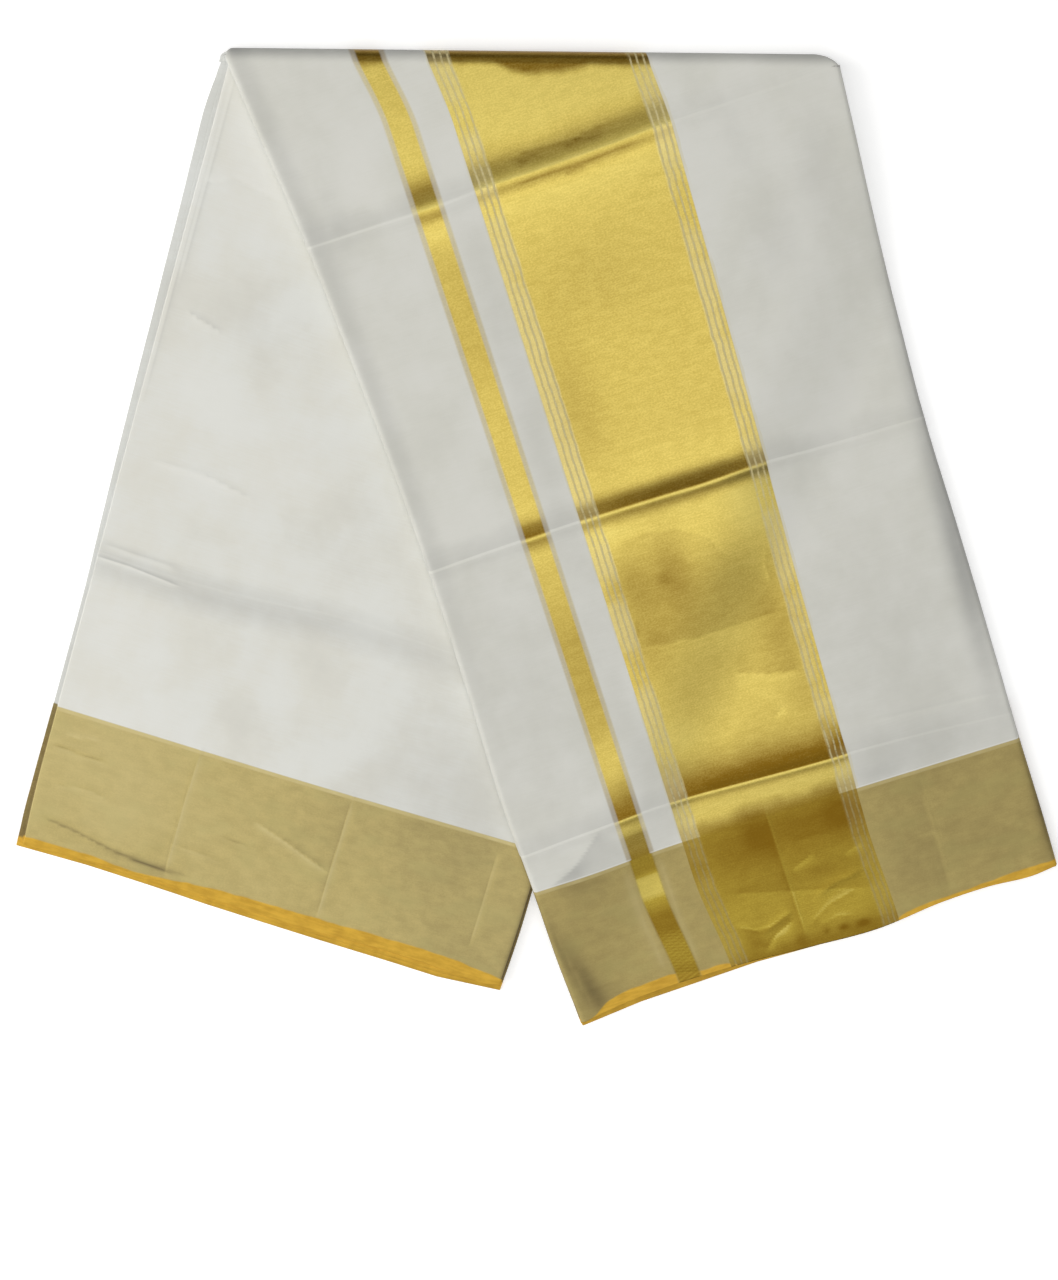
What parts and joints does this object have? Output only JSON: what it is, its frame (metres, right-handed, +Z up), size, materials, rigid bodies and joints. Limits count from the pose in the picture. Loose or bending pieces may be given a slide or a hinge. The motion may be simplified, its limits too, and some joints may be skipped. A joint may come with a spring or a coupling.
{
  "type": "folded saree",
  "caption": "Cream cotton kasavu saree folded lengthwise into a flat pile, then folded once over a crest so its ends lie splayed, with gold borders and an end band.",
  "frame": {"origin": "under the middle of the folded saree, on the surface it lies on", "axes": "+Z up from the surface, the crest of the fold along X at the +Y side, both legs running towards -Y"},
  "size_m": [0.7212, 0.6504, 0.0173],
  "materials": {
    "front_cloth": "plain cotton weave with woven gold bands and border",
    "back_cloth": "plain cotton weave with a woven gold border",
    "layered_edges": "stacked cotton layers with gold selvedges"
  },
  "bodies": {
    "root": {"front_fall": "front_cloth", "back_fall": "back_cloth", "inner_folds": "layered_edges"}
  },
  "joints": []
}
